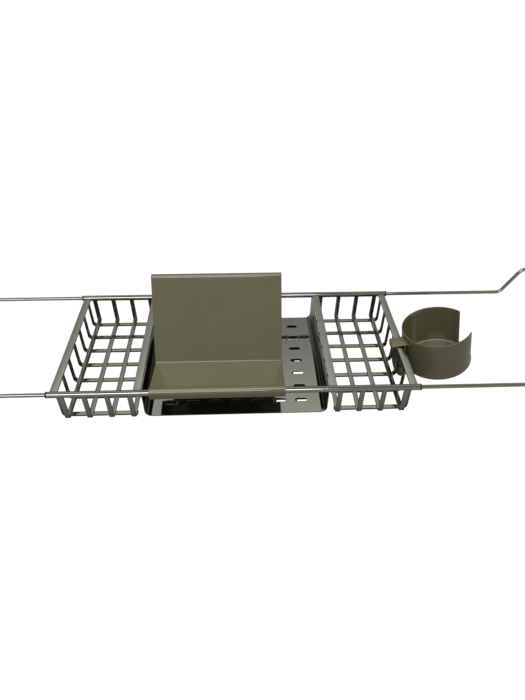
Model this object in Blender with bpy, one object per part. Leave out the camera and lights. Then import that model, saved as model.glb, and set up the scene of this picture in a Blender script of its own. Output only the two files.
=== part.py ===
"""Bath caddy: two rails with sliding arms, two open baskets, a slotted tray, a book stand, a cup holder.

Metres. +X runs to the right along the rails, +Y to the back, +Z up. X and Y are 0 midway along and
between the rails, and Z is 0 at the underside of the baskets' cross bars.
"""
import math

import bmesh
import bpy
from mathutils import Euler, Vector

# Fits shared by every piece
REST_GAP = 0.0003
RUN_GAP = 0.0005
CUT_OVERRUN = 0.004
ROUND_SEGMENTS = 24
SMALL_SEGMENTS = 16
CUP_SEGMENTS = 40
ARC_STEPS = 4
ROD_BEVEL_RESOLUTION = 2
SMOOTH_LIMIT = math.radians(40)

# Rails: straight tubes
RAIL_LENGTH = 0.450
RAIL_RADIUS = 0.004
RAIL_WALL = 0.0005
RAIL_SPACING = 0.1986
RAIL_HEIGHT = 0.045

# Bushes in the rails' ends
BUSH_FLANGE = 0.0016
BUSH_INSERT = 0.010

# Arms: one bent rod on each side
ROD_RADIUS = 0.0025
ARM_STRAIGHT = 0.1765
ARM_RISE = 0.040
ARM_SLOPE = math.radians(61)
ARM_BEND_RADIUS = 0.012
ARM_OUT_TRAVEL = 0.025

# Stop plugs on the rods' inner ends
PLUG_LENGTH = 0.006
PLUG_BORE_DEPTH = 0.004

# Rubber grips that rest on the tub
GRIP_LENGTH = 0.028
GRIP_WIDTH = 0.014
GRIP_HEIGHT = 0.011
GRIP_CORNER_RADIUS = 0.003
GRIP_END_GAP = 0.00063
GRIP_CORNER_STEPS = 5

# Flat rim bars across the rails
RIM_BAR_WIDTH = 0.0094
RIM_BAR_THICKNESS = 0.0025
RIM_BAR_INSET = 0.0061
BASKET_SPAN = 0.0993

# Basket strips: long strips run front to back, cross bars run along X
STRIP_WIDTH = 0.0060
STRIP_THICKNESS = 0.0024
LONG_STRIP_COUNT = 4
LONG_STRIP_INNER_INSET = 0.0087
LONG_STRIP_CORNER_LAP = 0.0006
LONG_STRIP_CORNER_RADIUS = 0.003
CROSS_BAR_COUNT = 7
CROSS_BAR_END_INSET = 0.0085
CROSS_BAR_CORNER_RADIUS = 0.0065
CROSS_BAR_INNER_OVERHANG = 0.0007

# Tray: one sheet bent into a channel
TRAY_SHEET = 0.001
TRAY_FLOOR_TOP = 0.0032
TRAY_CORNER_RADIUS = 0.009
TRAY_END_INSET = 0.0008
SLOT_SIDE_MARGIN = 0.024
SLOT_END_MARGIN = 0.016
SLOT_PITCH_X = 0.028
SLOT_PITCH_Y = 0.02545
SLOT_LENGTH = 0.01575
SLOT_WIDTH = 0.0056

# Book stand: one sheet hooked over both rails
STAND_SHEET = 0.0016
STAND_LEFT_MARGIN = 0.0109
STAND_RIGHT_MARGIN = 0.0549
STAND_FRONT_LIP_DROP = 0.0057
STAND_REAR_LIP_DROP = 0.003
STAND_LEDGE_DEPTH = 0.0593
STAND_BEND_HEIGHT = 0.0388
STAND_BEND_RADIUS = 0.0025
STAND_TOP_SETBACK = 0.1155
STAND_TOP_HEIGHT = 0.1390
STAND_TOP_RADIUS = 0.0039

# Cup holder
CUP_RADIUS = 0.0451
CUP_WALL = 0.0013
CUP_HEIGHT = 0.0582
CUP_FLOOR = 0.0026
CUP_FLOOR_RECESS = 0.0010
CUP_RECESS_RADIUS = 0.033
CUP_EDGE_RADIUS = 0.004
CUP_STANDOFF = 0.0491
CUP_AT_Y = -0.008
CUP_RIM_HEIGHT = 0.0668
CUP_LEAN = math.radians(11.6)
CUP_BACK_LEAN = math.radians(3.8)
CUP_GAP_FRONT_ANGLE = math.radians(-32.8)
CUP_GAP_REAR_ANGLE = math.radians(31.3)
CUP_LIP_HEIGHT = 0.006

# Clip that carries the cup on the right outer rim bar
CLIP_SHEET = 0.0014
CLIP_WIDTH = 0.0182
CLIP_AT_Y = -0.0173
CLIP_INNER_OVERHANG = 0.0067
CLIP_LIP_DROP = 0.0075
CLIP_BEND_RADIUS = 0.0012
BACK_PLATE_RADIUS = 0.0425
BACK_PLATE_STEPS = 18

# Places that follow from the sizes above
HALF_RAIL = RAIL_LENGTH / 2
RAIL_Y = RAIL_SPACING / 2
RAIL_BORE_RADIUS = RAIL_RADIUS - RAIL_WALL
INSERT_RADIUS = RAIL_BORE_RADIUS - REST_GAP
ROD_BORE_RADIUS = ROD_RADIUS + REST_GAP
PLUG_OUTER_END = HALF_RAIL - BUSH_INSERT - REST_GAP - ARM_OUT_TRAVEL
ROD_INNER_END = PLUG_OUTER_END - PLUG_BORE_DEPTH + REST_GAP
ARM_BEND_AT = HALF_RAIL + ARM_STRAIGHT
ARM_TOP_BEND_AT = ARM_BEND_AT + ARM_RISE / math.tan(ARM_SLOPE)
GRIP_START = ARM_TOP_BEND_AT + ARM_BEND_RADIUS * math.tan(ARM_SLOPE / 2) + GRIP_END_GAP
GRIP_AT = GRIP_START + GRIP_LENGTH / 2
ARM_REACH = GRIP_START + GRIP_LENGTH + GRIP_END_GAP + ARM_BEND_RADIUS
OUTER_RIM_AT = HALF_RAIL - RIM_BAR_INSET
INNER_RIM_AT = OUTER_RIM_AT - BASKET_SPAN
FIRST_LONG_STRIP_AT = INNER_RIM_AT + LONG_STRIP_INNER_INSET
CROSS_BAR_CORNER_AT = OUTER_RIM_AT - CROSS_BAR_CORNER_RADIUS
LAST_LONG_STRIP_AT = CROSS_BAR_CORNER_AT + LONG_STRIP_CORNER_LAP - STRIP_WIDTH / 2
LONG_STRIP_PITCH = (LAST_LONG_STRIP_AT - FIRST_LONG_STRIP_AT) / (LONG_STRIP_COUNT - 1)
CROSS_BAR_PITCH = (RAIL_SPACING - 2 * CROSS_BAR_END_INSET) / (CROSS_BAR_COUNT - 1)
RIM_BAR_TOP = RAIL_HEIGHT + RIM_BAR_THICKNESS / 2
RIM_BAR_BOTTOM = RAIL_HEIGHT - RIM_BAR_THICKNESS / 2
RIM_BAR_HALF_DEPTH = RAIL_Y - RAIL_RADIUS - REST_GAP
WALL_TOP = RIM_BAR_BOTTOM - REST_GAP
TRAY_HALF_WIDTH = INNER_RIM_AT - RIM_BAR_WIDTH / 2 - RUN_GAP + REST_GAP
TRAY_DEPTH = RAIL_SPACING - 2 * TRAY_END_INSET
SLOT_COLUMNS = 1 + int((2 * TRAY_HALF_WIDTH - 2 * SLOT_SIDE_MARGIN) / SLOT_PITCH_X)
SLOT_ROWS = 1 + int((TRAY_DEPTH - 2 * SLOT_END_MARGIN) / SLOT_PITCH_Y)
STAND_LEFT_END = RIM_BAR_WIDTH / 2 - INNER_RIM_AT + STAND_LEFT_MARGIN
STAND_RIGHT_END = INNER_RIM_AT - RIM_BAR_WIDTH / 2 - STAND_RIGHT_MARGIN
STAND_WIDTH = STAND_RIGHT_END - STAND_LEFT_END
STAND_AT_X = (STAND_LEFT_END + STAND_RIGHT_END) / 2
CUP_RIM_CENTRE = Vector((OUTER_RIM_AT + CUP_STANDOFF, CUP_AT_Y, CUP_RIM_HEIGHT))
CUP_TURN = Euler((-CUP_BACK_LEAN, -CUP_LEAN, 0))
CUP_AXIS = CUP_TURN.to_matrix() @ Vector((0, 0, 1))
CLIP_PIVOT = Vector((OUTER_RIM_AT - RIM_BAR_WIDTH / 2, RIM_BAR_TOP))
CLIP_UP = Vector((-math.sin(CUP_LEAN), math.cos(CUP_LEAN)))
CLIP_OUT = Vector((math.cos(CUP_LEAN), math.sin(CUP_LEAN)))


def clear_scene():
    """Remove every object that is already in the file."""
    for old in list(bpy.data.objects):
        bpy.data.objects.remove(old, do_unlink=True)


def make_material(name, colour, roughness, metallic):
    """A Principled material."""
    material = bpy.data.materials.new(name)
    material.use_nodes = True
    shader = material.node_tree.nodes["Principled BSDF"]
    shader.inputs["Base Color"].default_value = (*colour, 1)
    shader.inputs["Roughness"].default_value = roughness
    shader.inputs["Metallic"].default_value = metallic
    return material


def link(name, data, material, location, parent):
    """An object in the scene that carries the given mesh or curve."""
    data.materials.append(material)
    made = bpy.data.objects.new(name, data)
    bpy.context.scene.collection.objects.link(made)
    made.location = location
    made.parent = parent
    return made


def make_pivot(name, location):
    """An empty that stands on a joint's axis."""
    pivot = bpy.data.objects.new(name, None)
    bpy.context.scene.collection.objects.link(pivot)
    pivot.location = location
    return pivot


def make_mesh(name, corners, faces):
    """A closed mesh whose faces point out, smooth where it is round."""
    mesh = bpy.data.meshes.new(name)
    mesh.from_pydata([tuple(corner) for corner in corners], [], faces)
    shape = bmesh.new()
    shape.from_mesh(mesh)
    bmesh.ops.recalc_face_normals(shape, faces=shape.faces)
    shape.to_mesh(mesh)
    shape.free()
    mesh.shade_smooth()
    mesh.set_sharp_from_angle(angle=SMOOTH_LIMIT)
    return mesh


def rounded_path(corners, radii, steps=ARC_STEPS):
    """The line through the corners, with an arc of the given radius at each inner corner."""
    path = [corners[0]]
    for before, corner, after, radius in zip(corners, corners[1:], corners[2:], radii):
        back = (before - corner).normalized()
        ahead = (after - corner).normalized()
        half_angle = back.angle(ahead) / 2
        reach = radius / math.tan(half_angle)
        centre = corner + (back + ahead).normalized() * (radius / math.sin(half_angle))
        start = corner + back * reach - centre
        end = corner + ahead * reach - centre
        turn = math.pi - 2 * half_angle
        for step in range(steps + 1):
            share = step / steps
            blend = start * math.sin((1 - share) * turn) + end * math.sin(share * turn)
            path.append(centre + blend / math.sin(turn))
    path.append(corners[-1])
    return path


def side_step(path, index, distance):
    """The path's point moved to its left by the distance, mitred between its two stretches."""
    stretches = []
    if index > 0:
        stretches.append((path[index] - path[index - 1]).normalized())
    if index < len(path) - 1:
        stretches.append((path[index + 1] - path[index]).normalized())
    normals = [Vector((-stretch.y, stretch.x)) for stretch in stretches]
    first, last = normals[0], normals[-1]
    return path[index] + (first + last) * (distance / (1 + first.dot(last)))


def strip_mesh(name, path, thickness, width, runs_along_x):
    """A flat strip bent along a path of (run, height) points, and wide across the run."""
    corners = []
    for index in range(len(path)):
        left = side_step(path, index, thickness / 2)
        right = side_step(path, index, -thickness / 2)
        for point, across in ((left, -width / 2), (left, width / 2), (right, width / 2), (right, -width / 2)):
            if runs_along_x:
                corners.append((point.x, across, point.y))
            else:
                corners.append((across, point.x, point.y))
    faces = [(0, 1, 2, 3)]
    for ring in range(len(path) - 1):
        for side in range(4):
            near = 4 * ring + side
            beside = 4 * ring + (side + 1) % 4
            faces.append((near, beside, beside + 4, near + 4))
    end = 4 * (len(path) - 1)
    faces.append((end, end + 1, end + 2, end + 3))
    return make_mesh(name, corners, faces)


def turned_mesh(name, profile, segments):
    """A closed profile of (radius, height) points turned about Z; points on the axis close it."""
    corners = []
    rings = []
    for radius, height in profile:
        if radius == 0:
            rings.append([len(corners)] * segments)
            corners.append((0, 0, height))
            continue
        rings.append(list(range(len(corners), len(corners) + segments)))
        for step in range(segments):
            angle = 2 * math.pi * step / segments
            corners.append((radius * math.cos(angle), radius * math.sin(angle), height))
    faces = []
    for ring, following in zip(rings, rings[1:] + rings[:1]):
        for step in range(segments):
            after = (step + 1) % segments
            face = list(dict.fromkeys((ring[step], ring[after], following[after], following[step])))
            if len(face) > 2:
                faces.append(face)
    return make_mesh(name, corners, faces)


def prism_mesh(name, outline, low, high):
    """An outline of (x, y) points drawn up from the low to the high height."""
    count = len(outline)
    corners = [(point[0], point[1], low) for point in outline]
    corners += [(point[0], point[1], high) for point in outline]
    faces = [tuple(range(count)), tuple(range(count, 2 * count))]
    for index in range(count):
        after = (index + 1) % count
        faces.append((index, after, after + count, index + count))
    return make_mesh(name, corners, faces)


def box_mesh(name, size_x, size_y, size_z):
    """A box about its own middle."""
    half_x = size_x / 2
    half_y = size_y / 2
    outline = [(-half_x, -half_y), (half_x, -half_y), (half_x, half_y), (-half_x, half_y)]
    return prism_mesh(name, outline, -size_z / 2, size_z / 2)


def cut_with(target, tool, operation):
    """A Boolean of the target with the tool, which stays hidden as a guide."""
    tool.hide_render = True
    tool.display_type = "WIRE"
    modifier = target.modifiers.new(tool.name, "BOOLEAN")
    modifier.operation = operation
    modifier.solver = "EXACT"
    modifier.object = tool


def side_name(side):
    """The word for a side: -1 is left and 1 is right."""
    return "right" if side > 0 else "left"


def make_rail(name, y, steel):
    """One rail tube."""
    profile = [
        (RAIL_RADIUS, -HALF_RAIL),
        (RAIL_RADIUS, HALF_RAIL),
        (RAIL_BORE_RADIUS, HALF_RAIL),
        (RAIL_BORE_RADIUS, -HALF_RAIL),
    ]
    mesh = turned_mesh(name, profile, ROUND_SEGMENTS)
    rail = link(name, mesh, steel, (0, y, RAIL_HEIGHT), None)
    rail.rotation_euler = (0, math.pi / 2, 0)


def make_bush(name, side, y, plastic):
    """A flanged bush in one rail end, which the rod slides through."""
    profile = [
        (ROD_BORE_RADIUS, -BUSH_INSERT),
        (INSERT_RADIUS, -BUSH_INSERT),
        (INSERT_RADIUS, REST_GAP),
        (RAIL_RADIUS, REST_GAP),
        (RAIL_RADIUS, REST_GAP + BUSH_FLANGE),
        (ROD_BORE_RADIUS, REST_GAP + BUSH_FLANGE),
    ]
    mesh = turned_mesh(name, profile, SMALL_SEGMENTS)
    bush = link(name, mesh, plastic, (side * HALF_RAIL, y, RAIL_HEIGHT), None)
    bush.rotation_euler = (0, side * math.pi / 2, 0)


def make_plug(name, side, y, plastic, pivot):
    """A blind plug on the rod's inner end; it meets the bush when the arm is fully out."""
    profile = [
        (0, PLUG_OUTER_END - PLUG_LENGTH),
        (INSERT_RADIUS, PLUG_OUTER_END - PLUG_LENGTH),
        (INSERT_RADIUS, PLUG_OUTER_END),
        (ROD_BORE_RADIUS, PLUG_OUTER_END),
        (ROD_BORE_RADIUS, PLUG_OUTER_END - PLUG_BORE_DEPTH),
        (0, PLUG_OUTER_END - PLUG_BORE_DEPTH),
    ]
    mesh = turned_mesh(name, profile, SMALL_SEGMENTS)
    plug = link(name, mesh, plastic, (0, y, 0), pivot)
    plug.rotation_euler = (0, side * math.pi / 2, 0)


def make_arm(name, side, steel, pivot):
    """One bent rod: out of the front rail, up, out, across and back into the rear rail."""
    front = [
        Vector((side * ROD_INNER_END, -RAIL_Y, 0)),
        Vector((side * ARM_BEND_AT, -RAIL_Y, 0)),
        Vector((side * ARM_TOP_BEND_AT, -RAIL_Y, ARM_RISE)),
        Vector((side * ARM_REACH, -RAIL_Y, ARM_RISE)),
    ]
    rear = [Vector((point.x, -point.y, point.z)) for point in reversed(front)]
    bends = [ARM_BEND_RADIUS] * (len(front) + len(rear) - 2)
    path = rounded_path(front + rear, bends, steps=ARC_STEPS + 1)
    curve = bpy.data.curves.new(name, "CURVE")
    curve.dimensions = "3D"
    curve.bevel_depth = ROD_RADIUS
    curve.bevel_resolution = ROD_BEVEL_RESOLUTION
    curve.use_fill_caps = True
    spline = curve.splines.new("POLY")
    spline.points.add(len(path) - 1)
    for point, place in zip(spline.points, path):
        point.co = (*place, 1)
    spline.use_smooth = True
    link(name, curve, steel, (0, 0, 0), pivot)


def grip_mesh(name):
    """A sleeve with a flat underside: a rounded bar with a round bore, drawn along X."""
    outer = []
    bore = []
    half_width = GRIP_WIDTH / 2 - GRIP_CORNER_RADIUS
    half_height = GRIP_HEIGHT / 2 - GRIP_CORNER_RADIUS
    corner_signs = ((1, 1), (-1, 1), (-1, -1), (1, -1))
    points_per_corner = GRIP_CORNER_STEPS + 1
    for quarter, (sign_y, sign_z) in enumerate(corner_signs):
        for step in range(points_per_corner):
            angle = (quarter + step / GRIP_CORNER_STEPS) * math.pi / 2
            outer.append((
                sign_y * half_width + GRIP_CORNER_RADIUS * math.cos(angle),
                sign_z * half_height + GRIP_CORNER_RADIUS * math.sin(angle),
            ))
            bore_angle = (quarter + (step + 1 / 2) / points_per_corner) * math.pi / 2
            bore.append((ROD_BORE_RADIUS * math.cos(bore_angle), ROD_BORE_RADIUS * math.sin(bore_angle)))
    count = len(outer)
    corners = []
    end = GRIP_LENGTH / 2
    for x, loop in ((-end, outer), (end, outer), (end, bore), (-end, bore)):
        corners += [(x, y, z) for y, z in loop]
    faces = []
    for ring in range(4):
        here = ring * count
        following = (ring + 1) % 4 * count
        for index in range(count):
            after = (index + 1) % count
            faces.append((here + index, here + after, following + after, following + index))
    return make_mesh(name, corners, faces)


def make_arm_set(side, steel, plastic, rubber):
    """An arm with its stop plugs and grips, all on the arm's pivot."""
    word = side_name(side)
    pivot = make_pivot(f"{word}_arm_axis", (0, 0, RAIL_HEIGHT))
    make_arm(f"{word}_arm", side, steel, pivot)
    for place, y in (("front", -RAIL_Y), ("rear", RAIL_Y)):
        make_plug(f"{word}_{place}_stop_plug", side, y, plastic, pivot)
        name = f"{word}_{place}_grip"
        link(name, grip_mesh(name), rubber, (side * GRIP_AT, y, ARM_RISE), pivot)


def make_rim_bar(name, x, steel):
    """A flat bar between the rails."""
    mesh = box_mesh(name, RIM_BAR_WIDTH, 2 * RIM_BAR_HALF_DEPTH, RIM_BAR_THICKNESS)
    link(name, mesh, steel, (x, 0, RAIL_HEIGHT), None)


def make_long_strip(name, x, steel):
    """A strip on the basket floor whose two ends turn up to the rails."""
    floor_height = STRIP_THICKNESS + REST_GAP + STRIP_THICKNESS / 2
    riser_y = RAIL_Y
    top = RAIL_HEIGHT - RAIL_RADIUS - REST_GAP
    corners = [
        Vector((-riser_y, top)),
        Vector((-riser_y, floor_height)),
        Vector((riser_y, floor_height)),
        Vector((riser_y, top)),
    ]
    bend = LONG_STRIP_CORNER_RADIUS - STRIP_THICKNESS / 2
    path = rounded_path(corners, [bend, bend])
    mesh = strip_mesh(name, path, STRIP_THICKNESS, STRIP_WIDTH, runs_along_x=False)
    link(name, mesh, steel, (x, 0, 0), None)


def make_cross_bar(name, side, y, steel):
    """A bar under the long strips whose outer end turns up to the outer rim bar."""
    inner_end = FIRST_LONG_STRIP_AT - STRIP_WIDTH / 2 - CROSS_BAR_INNER_OVERHANG
    riser_x = OUTER_RIM_AT - STRIP_THICKNESS / 2
    corners = [
        Vector((side * inner_end, STRIP_THICKNESS / 2)),
        Vector((side * riser_x, STRIP_THICKNESS / 2)),
        Vector((side * riser_x, WALL_TOP)),
    ]
    path = rounded_path(corners, [CROSS_BAR_CORNER_RADIUS - STRIP_THICKNESS / 2])
    mesh = strip_mesh(name, path, STRIP_THICKNESS, STRIP_WIDTH, runs_along_x=True)
    link(name, mesh, steel, (0, y, 0), None)


def make_basket(side, steel):
    """One open basket: two rim bars, the long strips and the cross bars."""
    word = side_name(side)
    make_rim_bar(f"{word}_inner_rim_bar", side * INNER_RIM_AT, steel)
    make_rim_bar(f"{word}_outer_rim_bar", side * OUTER_RIM_AT, steel)
    for index in range(LONG_STRIP_COUNT):
        x = side * (FIRST_LONG_STRIP_AT + index * LONG_STRIP_PITCH)
        make_long_strip(f"{word}_long_strip_{index + 1}", x, steel)
    for index in range(CROSS_BAR_COUNT):
        y = (index - (CROSS_BAR_COUNT - 1) / 2) * CROSS_BAR_PITCH
        make_cross_bar(f"{word}_cross_bar_{index + 1}", side, y, steel)


def slot_cutter_mesh():
    """Every slot of the tray floor: prisms with round ends, long along X."""
    low = TRAY_FLOOR_TOP - TRAY_SHEET - CUT_OVERRUN
    high = TRAY_FLOOR_TOP + CUT_OVERRUN
    half_straight = (SLOT_LENGTH - SLOT_WIDTH) / 2
    outline = []
    for end in (1, -1):
        for step in range(ARC_STEPS + 1):
            angle = (step / ARC_STEPS - 1 / 2) * math.pi
            outline.append((
                end * (half_straight + SLOT_WIDTH / 2 * math.cos(angle)),
                end * SLOT_WIDTH / 2 * math.sin(angle),
            ))
    corners = []
    faces = []
    count = len(outline)
    for column in range(SLOT_COLUMNS):
        for row in range(SLOT_ROWS):
            x = (column - (SLOT_COLUMNS - 1) / 2) * SLOT_PITCH_X
            y = (row - (SLOT_ROWS - 1) / 2) * SLOT_PITCH_Y
            start = len(corners)
            corners += [(x + dx, y + dy, low) for dx, dy in outline]
            corners += [(x + dx, y + dy, high) for dx, dy in outline]
            faces.append(tuple(range(start, start + count)))
            faces.append(tuple(range(start + count, start + 2 * count)))
            for index in range(count):
                after = (index + 1) % count
                faces.append((start + index, start + after, start + count + after, start + count + index))
    return make_mesh("slot_cutter", corners, faces)


def make_tray(steel):
    """The channel-shaped tray, with its slots and its clearance under the rails."""
    wall_x = TRAY_HALF_WIDTH - TRAY_SHEET / 2
    floor_height = TRAY_FLOOR_TOP - TRAY_SHEET / 2
    corners = [
        Vector((-wall_x, WALL_TOP)),
        Vector((-wall_x, floor_height)),
        Vector((wall_x, floor_height)),
        Vector((wall_x, WALL_TOP)),
    ]
    bend = TRAY_CORNER_RADIUS - TRAY_SHEET / 2
    path = rounded_path(corners, [bend, bend])
    mesh = strip_mesh("tray_pan", path, TRAY_SHEET, TRAY_DEPTH, runs_along_x=True)
    tray = link("tray_pan", mesh, steel, (0, 0, 0), None)
    slots = link("slot_cutter", slot_cutter_mesh(), steel, (0, 0, 0), None)
    cut_with(tray, slots, "DIFFERENCE")
    clearance = [
        (0, -HALF_RAIL),
        (RAIL_RADIUS + REST_GAP, -HALF_RAIL),
        (RAIL_RADIUS + REST_GAP, HALF_RAIL),
        (0, HALF_RAIL),
    ]
    for place, y in (("front", -RAIL_Y), ("rear", RAIL_Y)):
        name = f"{place}_rail_clearance"
        cutter = link(name, turned_mesh(name, clearance, ROUND_SEGMENTS), steel, (0, y, RAIL_HEIGHT), None)
        cutter.rotation_euler = (0, math.pi / 2, 0)
        cut_with(tray, cutter, "DIFFERENCE")


def hook_corner(outer_point, rail_y, hook_radius, away):
    """Where a line from the outer point, passing just over a rail's hook, meets the hook's outer side."""
    to_rail = Vector((rail_y, RAIL_HEIGHT)) - outer_point
    lift = math.asin(hook_radius / to_rail.length)
    direction = math.atan2(to_rail.y, abs(to_rail.x)) + lift
    corner_y = rail_y + away * hook_radius
    run = abs(corner_y - outer_point.x)
    return Vector((corner_y, outer_point.y + run * math.tan(direction)))


def make_book_stand(coat, pivot):
    """A sheet hooked over the front rail, bent down to a ledge, up to its top and back to the rear rail."""
    hook_radius = RAIL_RADIUS + REST_GAP + STAND_SHEET / 2
    bend = Vector((STAND_LEDGE_DEPTH - RAIL_Y, STAND_BEND_HEIGHT))
    top = Vector((STAND_TOP_SETBACK - RAIL_Y, STAND_TOP_HEIGHT))
    corners = [
        Vector((-RAIL_Y - hook_radius, RAIL_HEIGHT - STAND_FRONT_LIP_DROP)),
        hook_corner(bend, -RAIL_Y, hook_radius, -1),
        bend,
        top,
        hook_corner(top, RAIL_Y, hook_radius, 1),
        Vector((RAIL_Y + hook_radius, RAIL_HEIGHT - STAND_REAR_LIP_DROP)),
    ]
    radii = [hook_radius, STAND_BEND_RADIUS, STAND_TOP_RADIUS, hook_radius]
    path = rounded_path(corners, radii, steps=ARC_STEPS + 2)
    mesh = strip_mesh("book_stand", path, STAND_SHEET, STAND_WIDTH, runs_along_x=False)
    link("book_stand", mesh, coat, (STAND_AT_X, 0, -RAIL_HEIGHT), pivot)


def place_on_cup_axis(made, depth, pivot):
    """Stand an object on the cup's axis at a depth below the rim, leaning with the cup."""
    made.location = CUP_RIM_CENTRE - CUP_AXIS * depth - pivot.location
    made.rotation_euler = CUP_TURN


def make_cup(coat, pivot):
    """A round cup with a wide gap in its wall above a low lip."""
    inner_radius = CUP_RADIUS - CUP_WALL
    profile = [(0, 0)]
    for step in range(ARC_STEPS + 1):
        angle = (step / ARC_STEPS - 1) * math.pi / 2
        profile.append((
            CUP_RADIUS - CUP_EDGE_RADIUS + CUP_EDGE_RADIUS * math.cos(angle),
            CUP_EDGE_RADIUS + CUP_EDGE_RADIUS * math.sin(angle),
        ))
    profile += [
        (CUP_RADIUS, CUP_HEIGHT),
        (inner_radius, CUP_HEIGHT),
        (inner_radius, CUP_EDGE_RADIUS),
        (inner_radius - CUP_EDGE_RADIUS + CUP_FLOOR, CUP_FLOOR),
        (CUP_RECESS_RADIUS, CUP_FLOOR),
        (CUP_RECESS_RADIUS - CUP_FLOOR_RECESS, CUP_FLOOR - CUP_FLOOR_RECESS),
        (0, CUP_FLOOR - CUP_FLOOR_RECESS),
    ]
    cup = link("cup_holder", turned_mesh("cup_holder", profile, CUP_SEGMENTS), coat, (0, 0, 0), pivot)
    place_on_cup_axis(cup, CUP_HEIGHT, pivot)
    far = 2 * CUP_RADIUS
    wedge = [
        (0, 0),
        (far * math.cos(CUP_GAP_FRONT_ANGLE), far * math.sin(CUP_GAP_FRONT_ANGLE)),
        (far, 0),
        (far * math.cos(CUP_GAP_REAR_ANGLE), far * math.sin(CUP_GAP_REAR_ANGLE)),
    ]
    mesh = prism_mesh("cup_gap_cutter", wedge, CUP_LIP_HEIGHT, CUP_HEIGHT + CUT_OVERRUN)
    cutter = link("cup_gap_cutter", mesh, coat, (0, 0, 0), pivot)
    place_on_cup_axis(cutter, CUP_HEIGHT, pivot)
    cut_with(cup, cutter, "DIFFERENCE")


def back_plate_mesh():
    """The clip's half-round plate outside the basket, with a neck that runs up to the cap."""
    half_neck = CLIP_WIDTH / 2
    outline = []
    for step in range(BACK_PLATE_STEPS + 1):
        angle = math.pi * step / BACK_PLATE_STEPS
        outline.append((-BACK_PLATE_RADIUS * math.cos(angle), -BACK_PLATE_RADIUS * math.sin(angle)))
    cap_rise = (RIM_BAR_WIDTH + REST_GAP) * math.tan(CUP_LEAN)
    neck_top = RIM_BAR_TOP + cap_rise + REST_GAP + CLIP_SHEET - WALL_TOP
    outline += [(half_neck, 0), (half_neck, neck_top), (-half_neck, neck_top), (-half_neck, 0)]
    return prism_mesh("back_plate", outline, 0, CLIP_SHEET)


def make_clip(coat, pivot):
    """The clip: a cap over the rim bar with a short inner lip, and the plate outside the basket."""
    underside = CLIP_PIVOT + CLIP_UP * REST_GAP
    middle = underside + CLIP_UP * (CLIP_SHEET / 2)
    lip_x = CLIP_SHEET / 2 - CLIP_INNER_OVERHANG
    corners = [
        middle + CLIP_OUT * lip_x - CLIP_UP * CLIP_LIP_DROP,
        middle + CLIP_OUT * lip_x,
        middle + CLIP_OUT * (CUP_RIM_CENTRE.x - CLIP_PIVOT.x - CUP_RADIUS / 2),
    ]
    origin = Vector((pivot.location.x, pivot.location.z))
    path = rounded_path([corner - origin for corner in corners], [CLIP_BEND_RADIUS])
    mesh = strip_mesh("cup_clip", path, CLIP_SHEET, CLIP_WIDTH, runs_along_x=True)
    clip = link("cup_clip", mesh, coat, (0, CLIP_AT_Y, 0), pivot)
    top_x = OUTER_RIM_AT + RIM_BAR_WIDTH / 2 + REST_GAP
    foot_x = OUTER_RIM_AT + REST_GAP
    tilt = math.asin((top_x - foot_x) / BACK_PLATE_RADIUS)
    plate_place = (top_x - origin.x, CLIP_AT_Y, WALL_TOP - origin.y)
    plate = link("back_plate", back_plate_mesh(), coat, plate_place, pivot)
    plate.rotation_euler = (math.pi / 2, -tilt, math.pi / 2)
    cut_with(clip, plate, "UNION")
    clearance = [
        (0, -CUP_HEIGHT),
        (CUP_RADIUS + REST_GAP, -CUP_HEIGHT),
        (CUP_RADIUS + REST_GAP, CUP_HEIGHT),
        (0, CUP_HEIGHT),
    ]
    mesh = turned_mesh("cup_clearance", clearance, CUP_SEGMENTS)
    cutter = link("cup_clearance", mesh, coat, (0, 0, 0), pivot)
    place_on_cup_axis(cutter, 0, pivot)
    cut_with(clip, cutter, "DIFFERENCE")


def main():
    """Build the whole caddy."""
    clear_scene()
    steel = make_material("polished_steel", (0.60, 0.60, 0.57), 0.15, 1)
    coat = make_material("olive_coat", (0.10, 0.095, 0.06), 0.4, 0)
    plastic = make_material("black_plastic", (0.02, 0.02, 0.02), 0.45, 0)
    rubber = make_material("black_rubber", (0.03, 0.03, 0.03), 0.7, 0)
    for place, y in (("front", -RAIL_Y), ("rear", RAIL_Y)):
        make_rail(f"{place}_rail", y, steel)
        for side in (-1, 1):
            make_bush(f"{side_name(side)}_{place}_bush", side, y, plastic)
    make_tray(steel)
    for side in (-1, 1):
        make_basket(side, steel)
        make_arm_set(side, steel, plastic, rubber)
    make_book_stand(coat, make_pivot("book_stand_axis", (0, 0, RAIL_HEIGHT)))
    cup_pivot = make_pivot("cup_holder_axis", (OUTER_RIM_AT, 0, RAIL_HEIGHT))
    make_cup(coat, cup_pivot)
    make_clip(coat, cup_pivot)


main()
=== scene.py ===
import math

import bmesh
import bpy
import numpy as np
from mathutils import Matrix, Vector


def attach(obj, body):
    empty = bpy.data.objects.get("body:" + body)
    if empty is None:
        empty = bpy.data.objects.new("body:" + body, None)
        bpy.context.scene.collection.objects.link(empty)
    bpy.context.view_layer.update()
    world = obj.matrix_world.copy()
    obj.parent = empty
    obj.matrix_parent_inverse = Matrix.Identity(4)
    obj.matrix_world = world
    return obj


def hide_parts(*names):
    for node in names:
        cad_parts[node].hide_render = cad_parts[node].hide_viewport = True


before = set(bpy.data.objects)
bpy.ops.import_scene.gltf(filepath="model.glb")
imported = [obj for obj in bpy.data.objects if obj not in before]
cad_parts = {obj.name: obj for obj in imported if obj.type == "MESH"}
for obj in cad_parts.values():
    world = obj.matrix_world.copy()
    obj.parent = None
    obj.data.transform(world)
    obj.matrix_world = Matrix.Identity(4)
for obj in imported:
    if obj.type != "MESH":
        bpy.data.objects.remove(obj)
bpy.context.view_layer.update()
print("frame loaded")

mm = 0.001
sides = {"left": -1, "right": 1}
sharpAngle = 34  # an edge is sharp where its faces turn by more degrees than this
noiseSpan = (0.3, 0.7)  # where most of a noise's values lie


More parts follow.
